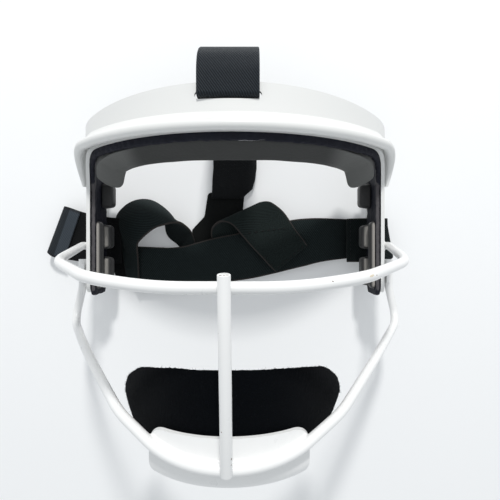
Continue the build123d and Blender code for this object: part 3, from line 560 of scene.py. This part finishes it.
# Loop pile.
# Short broken loops stand out of the cloth all over and show as fuzz along its edges.
random.seed(7)
loop_count, loop_half_width, loop_lean = 9000, 0.00005, 0.7
shortest_loop, longest_loop, longest_at_edge, edge_slope = 0.0004, 0.0007, 0.0014, 0.6
skin_points = [(v.co.copy(), v.normal.copy()) for v in chin_cloth.data.vertices]
pile_mesh = bmesh.new()
for root, out in random.sample(skin_points, min(loop_count, len(skin_points))):
    longest = longest_at_edge if abs(out.z) < edge_slope else longest_loop
    lean = Vector((random.uniform(-1, 1), random.uniform(-1, 1), random.uniform(-1, 1))) * loop_lean
    tip = root + (out + lean).normalized() * random.uniform(shortest_loop, longest)
    across = Vector((random.uniform(-1, 1), random.uniform(-1, 1), 0.3))
    side = (tip - root).cross(across).normalized() * loop_half_width
    other = side.cross(tip - root).normalized() * loop_half_width
    corners = [pile_mesh.verts.new(p) for p in (root - side, root + side, root + other * 1.7, tip)]
    for a, b, c in ((0, 1, 3), (1, 2, 3), (2, 0, 3), (0, 2, 1)):
        pile_mesh.faces.new((corners[a], corners[b], corners[c]))
bmesh.ops.recalc_face_normals(pile_mesh, faces=pile_mesh.faces)
pile_data = bpy.data.meshes.new("chin_loop_pile")
pile_mesh.to_mesh(pile_data)
pile_mesh.free()
pile = bpy.data.objects.new("chin_loop_pile", pile_data)
bpy.context.scene.collection.objects.link(pile)
dress(pile, finish("loop_pile", (0.0070, 0.0090, 0.0118), 0.9, sheen=0.02, mottle=0.95, patch=0.0005, spec=0.1))
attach(pile, "chin_pad")


# Top strap.
# Slate elastic webbing with a slanting twill. It comes up through the band's slot, over the bar above it and round
# the back of the head to the rear junction.
def webbing(name, rows, between=1):
    """A strip of webbing laid through rows of edge points in millimetres, with this many steps between two rows.
    A row's third value bows up its middle."""
    across, thick, look_ahead = 8, 0.0016, 0.2
    count = (len(rows) - 1) * between
    bpy.ops.object.select_all(action="DESELECT")
    bpy.ops.mesh.primitive_grid_add(x_subdivisions=across, y_subdivisions=count, size=1)
    piece = bpy.context.object
    piece.name = name
    rows = [(Vector(row[0]), Vector(row[1]), row[2] if len(row) > 2 else 0.0) for row in rows]

    def between_rows(place, pick):
        """A value at this place along the strip, on a smooth run through all the rows."""
        at = min(int(place), len(rows) - 2)
        t = place - at
        if between == 1:
            return pick(rows[at]) * (1 - t) + pick(rows[at + 1]) * t
        a, b, c, d = (pick(rows[min(max(at + k, 0), len(rows) - 1)]) for k in (-1, 0, 1, 2))
        return (b * 2 + (c - a) * t + (a * 2 - b * 5 + c * 4 - d) * t ** 2 + (b * 3 - a - c * 3 + d) * t ** 3) * 0.5

    def middle(place):
        return (between_rows(place, lambda r: r[0]) + between_rows(place, lambda r: r[1])) / 2

    for vertex in piece.data.vertices:
        u, v = vertex.co.x + 0.5, vertex.co.y + 0.5
        place = v * (len(rows) - 1)
        first, last = between_rows(place, lambda r: r[0]), between_rows(place, lambda r: r[1])
        point = first.lerp(last, u)
        rise = between_rows(place, lambda r: r[2])
        if rise:
            ahead = middle(min(place + look_ahead, len(rows) - 1)) - middle(max(place - look_ahead, 0))
            up = (last - first).cross(ahead).normalized()
            point += up * rise * 4 * u * (1 - u)
        vertex.co = point / 1000
    # The strip's map runs in metres along it.
    line = [middle(n / between) for n in range(count + 1)]
    along = [0.0]
    for first, last in zip(line, line[1:]):
        along.append(along[-1] + (last - first).length / 1000)
    for corner in piece.data.uv_layers.active.data:
        corner.uv.y = along[round(corner.uv.y * count)]
    body = piece.modifiers.new("body", "SOLIDIFY")
    body.thickness = thick
    body.offset = 0
    rounding = piece.modifiers.new("rounding", "BEVEL")
    rounding.width = thick * 0.3
    rounding.segments = 2
    rounding.limit_method = "ANGLE"
    rounding.angle_limit = math.radians(60)
    apply_modifiers(piece)
    bpy.ops.object.shade_smooth_by_angle(angle=math.radians(50))
    return piece


def route_rows(points, bends, left, right):
    """Rows across X along a route of (y, z) points in millimetres, its corners rounded to these radii."""
    steps, most_of_side = 7, 0.49
    route = [Vector(points[0])]
    for n in range(1, len(points) - 1):
        corner = Vector(points[n])
        back, ahead = Vector(points[n - 1]) - corner, Vector(points[n + 1]) - corner
        turn = math.pi - back.angle(ahead)
        reach = min(bends[n - 1] * math.tan(turn / 2), back.length * most_of_side, ahead.length * most_of_side)
        start, end = corner + back.normalized() * reach, corner + ahead.normalized() * reach
        for step in range(steps + 1):
            t = step / steps
            route.append(start * (1 - t) ** 2 + corner * 2 * t * (1 - t) + end * t ** 2)
    route.append(Vector(points[-1]))
    return [((left, p.x, p.y), (right, p.x, p.y)) for p in route]


def woven(name, dark, light, edge_colour, rough, slant=0.0, pitch=0.0012, depth=0.0002, edge=0.03, fuzz=None,
          spec=0.15, contrast=0.5, sheen=0.03, brightness_along=((0, 1), (1, 1))):
    """Webbing on the strip's own map, which runs in metres along it: slanting ribs and picks, edges in a colour of
    their own (on the black webbing a painted highlight), fuzz from one place on, and a brightness along it, given as
    places with how bright it is there, which is painted shade or painted highlight where a piece says so."""
    strip_width, wave_period, pick_share, speckle = 0.032, 0.314, 0.7, (0.34, 0.66)
    felt_scale, felt_fade = 1300, 0.001
    made = bpy.data.materials.new(name)
    made.use_nodes = True
    nodes, links = made.node_tree.nodes, made.node_tree.links
    shader = nodes["Principled BSDF"]
    shader.inputs["Roughness"].default_value = rough
    shader.inputs["Specular IOR Level"].default_value = spec
    shader.inputs["Sheen Weight"].default_value = sheen
    place = nodes.new("ShaderNodeTexCoord")
    laid = nodes.new("ShaderNodeMapping")
    laid.inputs["Scale"].default_value = (strip_width, 1, 1)
    laid.inputs["Rotation"].default_value = (0, 0, slant)
    links.new(place.outputs["UV"], laid.inputs["Vector"])
    ribs = nodes.new("ShaderNodeTexWave")
    ribs.inputs["Scale"].default_value = wave_period / pitch
    ribs.inputs["Distortion"].default_value = 0.8
    ribs.inputs["Detail"].default_value = 1
    ribs.inputs["Detail Scale"].default_value = 3
    links.new(laid.outputs["Vector"], ribs.inputs["Vector"])
    picks = clouds(made, laid.outputs["Vector"], 1 / (pitch * pick_share), 2)
    threads = nodes.new("ShaderNodeMix")
    threads.inputs["Factor"].default_value = 1 - contrast
    links.new(ribs.outputs["Fac"], threads.inputs["A"])
    links.new(picks.outputs["Fac"], threads.inputs["B"])
    height = threads.outputs["Result"]
    split = nodes.new("ShaderNodeSeparateXYZ")
    links.new(place.outputs["UV"], split.inputs["Vector"])
    if fuzz is not None:
        felt = clouds(made, laid.outputs["Vector"], felt_scale, 4)
        felt.inputs["Roughness"].default_value = 0.7
        swap = nodes.new("ShaderNodeMix")
        links.new(ramp(made, split.outputs["Y"], fuzz - felt_fade, fuzz + felt_fade), swap.inputs["Factor"])
        links.new(height, swap.inputs["A"])
        links.new(felt.outputs["Fac"], swap.inputs["B"])
        height = swap.outputs["Result"]
    cloth = nodes.new("ShaderNodeMix")
    cloth.data_type = "RGBA"
    cloth.inputs["A"].default_value = (*dark, 1)
    cloth.inputs["B"].default_value = (*light, 1)
    links.new(ramp(made, height, *speckle), cloth.inputs["Factor"])
    borders = nodes.new("ShaderNodeValToRGB")
    stops = borders.color_ramp.elements
    stops[0].position, stops[0].color = edge * 0.5, (1, 1, 1, 1)
    stops[1].position, stops[1].color = edge, (0, 0, 0, 1)
    for position, value in ((1 - edge, 0), (1 - edge * 0.5, 1)):
        stop = stops.new(position)
        stop.color = (value, value, value, 1)
    links.new(split.outputs["X"], borders.inputs["Fac"])
    edge_tint = nodes.new("ShaderNodeMix")
    edge_tint.data_type = "RGBA"
    edge_tint.inputs["B"].default_value = (*edge_colour, 1)
    links.new(borders.outputs["Color"], edge_tint.inputs["Factor"])
    links.new(cloth.outputs["Result"], edge_tint.inputs["A"])
    shade = nodes.new("ShaderNodeValToRGB")
    for n, (length, value) in enumerate(brightness_along):
        stop = shade.color_ramp.elements[n] if n < 2 else shade.color_ramp.elements.new(length / brightness_along[-1][0])
        stop.position, stop.color = length / brightness_along[-1][0], (value, value, value, 1)
    links.new(maths(made, "DIVIDE", split.outputs["Y"], brightness_along[-1][0]), shade.inputs["Fac"])
    shaded = nodes.new("ShaderNodeMix")
    shaded.data_type = "RGBA"
    shaded.blend_type = "MULTIPLY"
    shaded.inputs["Factor"].default_value = 1
    links.new(edge_tint.outputs["Result"], shaded.inputs["A"])
    links.new(shade.outputs["Color"], shaded.inputs["B"])
    links.new(shaded.outputs["Result"], shader.inputs["Base Color"])
    emboss(made, height, depth)
    return made


# Painted shade: the top strap darkens along its length to near black on its inner run, behind the band.
slate = woven("slate_webbing", (0.0032, 0.0052, 0.0078), (0.0130, 0.0190, 0.0255), (0.015, 0.020, 0.026), 0.6,
              slant=math.radians(-36), pitch=0.0011, depth=0.0003, contrast=0.75, spec=0.2, sheen=0.04,
              brightness_along=((0, 1), (0.085, 1), (0.12, 0.25), (0.2, 0.2)))
strap_left, strap_right = -17.7, 14.3
top_strap = webbing("top_webbing", route_rows(
    [(78.4, 95.5), (78.4, 99.1), (92, 99.3), (99.5, 96.5), (104.6, 91), (109.0, 84), (112.7, 75.5), (115.2, 62),
     (115.8, 46), (103, 17), (74, 5), (60, 4.6)], [1.6, 16, 16, 18, 24, 36, 50, 24, 24, 24],
    strap_left, strap_right) + [
    ((-18.4, 52, 4.2), (13.2, 52, 4.2)), ((-18.7, 45, 3.6), (11.2, 45, 3.6)), ((-18.9, 41, 3.3), (6.6, 41, 3.3)),
    ((-19.0, 38.4, 3.2), (4.0, 38.4, 3.2))])
dress(top_strap, slate)
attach(top_strap, "guard")
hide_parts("top_strap")

# Top strap's end.
# The same webbing goes back through the slot and under itself, and ends in a short hook tab that can be pulled
# along the strap.
top_end = webbing("top_webbing_end", route_rows(
    [(78.4, 96.5), (78.4, 93.45), (89.5, 93.45), (93.8, 94.8), (98.5, 93.0), (103.6, 87.8)], [1.6, 3, 5, 8],
    strap_left, strap_right))
dress(top_end, slate)
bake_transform(top_end)
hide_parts("top_strap_tab")

# Rear junction, and the stretch under the turn.
# A flared piece of black webbing sewn to the top strap and to the back strap at the back of the head. The other is
# the flat length of the left half that lies hidden beneath the right half.
black_cloth = finish("black_webbing_flat", (0.0040, 0.0048, 0.0047), 0.8, sheen=0.04, mottle=0.35, patch=0.0014,
                     grain=0.0002, grain_size=0.0009, spec=0.15)
for node_name in ("rear_junction", "under_strap"):
    strip = remoulded(node_name + "_webbing", [node_name], voxel=0.0006, smoothing=3)
    dress(strip, black_cloth)
    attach(strip, "guard")
    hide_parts(node_name)

# Back strap, right half.
# Plush black webbing from its hemmed end near the left arm across the back of the head and through the right arm's
# slot, where it folds back on itself.
# The edge colour of the black webbing is a painted highlight along both its edges.
black_dark, black_light, black_edge_highlight = (0.0032, 0.0056, 0.0060), (0.0150, 0.0235, 0.0240), (0.036, 0.032, 0.030)
right_webbing = woven("black_webbing_right", black_dark, black_light, black_edge_highlight, 0.8, slant=math.radians(55),
                      depth=0.00025, edge=0.035, brightness_along=((0, 1), (0.165, 1), (0.18, 0.6), (0.26, 0.6)))
right_strap = webbing("back_strap_right_webbing", [
    ((-54, -29.6, 4.6), (-54, 1.9, 4.6)), ((-68, -29.6, 4.6), (-68, 2.3, 4.6)),
    ((-71.6, -29.6, 4.8), (-71.6, 2.4, 4.8)), ((-72.6, -29.6, 5.5), (-72.6, 2.5, 5.5)),
    ((-71.6, -29.6, 6.3), (-71.6, 2.6, 6.3)), ((-62, -29.7, 6.5), (-62, 2.2, 6.5)),
    ((-50, -29.6, 6.5), (-50, 1.7, 6.5)), ((-39, -29.0, 6.4), (-39, 2.8, 6.4)),
    ((-30, -27.6, 6.4), (-30, 5.3, 6.4)), ((-22, -26.0, 6.4), (-22, 7.5, 6.4)),
    ((-12.6, -24.2, 6.4), (-12.6, 9.7, 6.4)), ((-1, -22.6, 6.4), (-1, 11.9, 6.4)),
    ((12, -20.6, 6.4), (12, 15.2, 6.4)), ((28, -17.0, 6.4), (28, 19.2, 6.4)),
    ((40, -14.0, 6.4), (40, 22.0, 6.4)), ((50, -11.6, 6.4), (50, 23.1, 6.4)),
    ((61, -8.8, 6.3), (61, 23.4, 6.3)), ((74, -7.0, 3.6), (74, 23.1, 3.6)), ((86, -6.0, 1.1), (86, 22.9, 1.1)),
    ((98, -6.0, 0.9), (98, 22.9, 0.9)), ((107.5, -6.0, 0.9), (107.5, 22.9, 0.9)),
    ((112.4, -5.0, 2.2), (107.9, 22.9, 2.2)), ((113.6, -4.5, 5.6), (108.6, 22.9, 5.6)),
    ((112.4, -6.0, 8.9), (107.9, 22.9, 8.9)), ((107.5, -8.0, 10.3), (107.5, 22.9, 10.3)),
    ((98, -8.6, 10.3), (98, 22.9, 10.3)), ((88, -8.7, 10.3), (88, 22.9, 10.3)),
    ((79.5, -8.7, 10.2), (79.5, 22.6, 10.2)),
], between=3)
dress(right_strap, right_webbing)
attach(right_strap, "guard")
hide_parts("back_strap_right")

# Fold at the left arm.
# The left half of the back strap starts as a flat loop through the left arm's slot. Its end is folded under and
# hemmed on the outside, where the webbing looks slate.
# Painted shade: the lower layer, from inside the slot out to the fold, and the layer under the top one are darkened
# almost to black. Painted highlight: the last few millimetres of the top layer, at the hemmed end's rounded crest,
# are brighter.
fold_webbing = woven("black_webbing_fold", (0.026, 0.033, 0.041), (0.046, 0.056, 0.068), (0.020, 0.022, 0.026),
                     0.75, slant=math.radians(30), edge=0.05,
                     brightness_along=((0, 0.05), (0.043, 0.05), (0.047, 0.40), (0.0688, 0.40), (0.0695, 1), (0.0735, 1)))
outer_fold = webbing("left_arm_fold_webbing", [
    ((-78, 21, 1.0), (-78, -24.0, 1.0)), ((-86, 23, 1.0), (-86, -23.0, 1.0)), ((-91, 24, 1.0), (-91, -19, 1.0)),
    ((-94.5, 24, 0.9), (-94.5, -10, 0.9)),
    ((-98, 24, 0.9), (-98, -10, 0.9)), ((-112, 26.8, 1.0), (-120, -8.2, 1.0)),
    ((-122, 30.6, 1.6), (-134.5, -4.6, 1.6)), ((-125.3, 31.8, 3.4), (-138, -2.4, 3.4)),
    ((-126, 32, 5.6), (-138.6, -2, 5.6)), ((-125.3, 31.8, 7.8), (-138, -2.4, 7.8)),
    ((-122, 30.6, 9.6), (-134.5, -4.6, 9.6)), ((-118.5, 29.3, 10.3), (-130.5, -5.8, 10.3)),
    ((-113.2, 27.4, 10.7), (-124.9, -7.4, 10.7)),
], between=3)
inner_fold = webbing("left_arm_fold_under", [
    ((-84, 23, 8.5), (-84, -9.6, 8.5)), ((-98, 24.4, 8.5), (-98, -9.6, 8.5)), ((-110, 27, 8.6), (-117, -8, 8.6)),
    ((-117.5, 29.2, 8.7), (-128.5, -5.8, 8.7)),
], between=3)
outer_fold = joined("left_arm_fold_webbing", [outer_fold, inner_fold])
dress(outer_fold, fold_webbing)
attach(outer_fold, "guard")
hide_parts("left_arm_fold")

# Back strap, left half: arch.
# The webbing rises from the left arm, rolls over in a loose arch and dives under the right half.
# Painted shade: the webbing darkens where it dives under the right half.
left_webbing = woven("black_webbing_left", black_dark, black_light, black_edge_highlight, 0.8, slant=math.radians(35),
                     brightness_along=((0, 1), (0.082, 1), (0.092, 0.5), (0.13, 0.4)))
left_strap = webbing("back_strap_left_webbing", [
    ((-82.4, -18.1, 3.0), (-71.3, -29.8, 8.5)), ((-83.6, -10.6, 2.9), (-71.4, -23.3, 8.8)),
    ((-84.7, -4.0, 2.8), (-71.4, -16.4, 9.3)), ((-85.6, 4.9, 2.9), (-71.5, -10.0, 9.8), 0.6),
    ((-88.9, 12.9, 3.3), (-71.6, -3.9, 10.6), 1.2), ((-89.8, 21.0, 4.5), (-71.2, 2.0, 13.2), 2.0),
    ((-86.7, 28.0, 5.7), (-69.5, 5.4, 16.1), 2.6), ((-78.5, 34.4, 7.4), (-62.2, 11.0, 22.0), 3.0),
    ((-69.0, 36.8, 8.0), (-55.7, 15.0, 25.2), 3.0), ((-60.0, 34.8, 7.5), (-49.8, 17.0, 26.0), 2.6),
    ((-51.5, 27.5, 6.4), (-44.5, 18.6, 24.0), 1.8), ((-53.0, 19.5, 5.4), (-39.1, 18.9, 18.1), 1.0),
    ((-52.4, 12.6, 4.4), (-33.9, 14.3, 10.3), 0.4), ((-49.6, 8.2, 3.8), (-31.9, 9.2, 6.4)),
    ((-44.8, 4.4, 3.6), (-31.0, 4.3, 4.2)),
    ((-41.0, 0.2, 3.2), (-30.6, -0.8, 3.6)),
], between=5)
dress(left_strap, left_webbing)
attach(left_strap, "guard")
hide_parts("back_strap_left")

# Back strap, left half: turn and hook tab.
# The same webbing comes up from under the right half, rolls over and lies across it. Its end is a fuzzy tab with a
# hook patch sewn underneath, and it can be pulled along the right half.
tab_webbing = woven("black_webbing_tab", (0.0028, 0.0050, 0.0050), (0.0160, 0.0240, 0.0230), black_edge_highlight, 0.85,
                    slant=math.radians(-50), depth=0.0003, edge=0.035, fuzz=0.040)
tab_strap = webbing("back_strap_turn_and_tab", [
    ((12.0, 20.0, 3.6), (-14.0, 4.0, 3.6)), ((9.6, 24.8, 4.8), (-19.0, 9.0, 4.6)),
    ((11.0, 29.8, 7.6), (-18.2, 16.2, 9.0)), ((16.0, 33.6, 11.0), (-11.8, 20.4, 13.0)),
    ((23.0, 34.8, 12.8), (-3.7, 18.2, 13.8)), ((29.4, 31.2, 12.3), (3.4, 10.4, 11.9)),
    ((34.4, 26.6, 11.3), (8.2, 4.8, 11.1)), ((38.6, 20.6, 11.0), (13.0, -0.4, 11.0)),
    ((42.8, 14.2, 11.0), (18.0, -5.6, 11.0)), ((47.0, 8.8, 11.0), (22.9, -11.0, 11.0)),
    ((50.9, 3.2, 10.9), (27.8, -16.0, 10.9)),
], between=5)
dress(tab_strap, tab_webbing)
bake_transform(tab_strap)
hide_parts("strap_turn", "back_strap_tab")


# Stitching on the tab.
# Rows of short black stitches hold the hook patch: one slanting across the tab's start, one round its end.
def stitches(name, rows, length, gap, thick, body, colour):
    """Rows of stitches of this length, gap and thickness laid along these lines, all in millimetres."""
    laid = []
    for line in rows:
        for first, last in zip(line, line[1:]):
            first, last = Vector(first), Vector(last)
            along = (last - first).normalized()
            count = max(int((last - first).length / (length + gap)), 1)
            for n in range(count):
                middle = first + along * ((n + 0.5) * (last - first).length / count)
                bpy.ops.object.select_all(action="DESELECT")
                bpy.ops.mesh.primitive_uv_sphere_add(segments=6, ring_count=4, radius=0.001, location=middle / 1000)
                stitch = bpy.context.object
                stitch.scale = (length / 2, thick / 2, thick / 2)
                stitch.rotation_euler = along.to_track_quat("X", "Z").to_euler()
                bpy.ops.object.transform_apply(location=True, rotation=True, scale=True)
                laid.append(stitch)
    piece = joined(name, laid)
    bpy.ops.object.shade_smooth()
    dress(piece, finish(name + "_thread", colour, 0.6, mottle=0.3, patch=0.001, spec=0.3))
    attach(piece, body)
    return piece


tab_stitches = stitches("tab_stitches", [
    [(6.5, 11.8, 12.75), (21.0, 13.9, 12.3), (36.0, 15.6, 11.95)],
    [(48.6, 3.4, 11.75), (28.6, -13.2, 11.75)], [(41.0, 12.5, 11.8), (47.4, 4.6, 11.75)],
    [(18.6, -3.6, 11.8), (26.4, -12.0, 11.75)],
], length=2.4, gap=1.3, thick=0.8, body="back_strap_tab", colour=(0.0008, 0.0008, 0.0008))

# Hem of the back strap.
# The right half's end is turned under and sewn, and so is the fold at the right arm.
hem_stitches = stitches("hem_stitches", [
    [(-69.6, -28.4, 7.35), (-69.6, 1.2, 7.35)],
    [(82.0, -7.6, 11.1), (82.0, 21.8, 11.1)],
], length=2.0, gap=1.0, thick=0.4, body="guard", colour=(0.010, 0.010, 0.011))
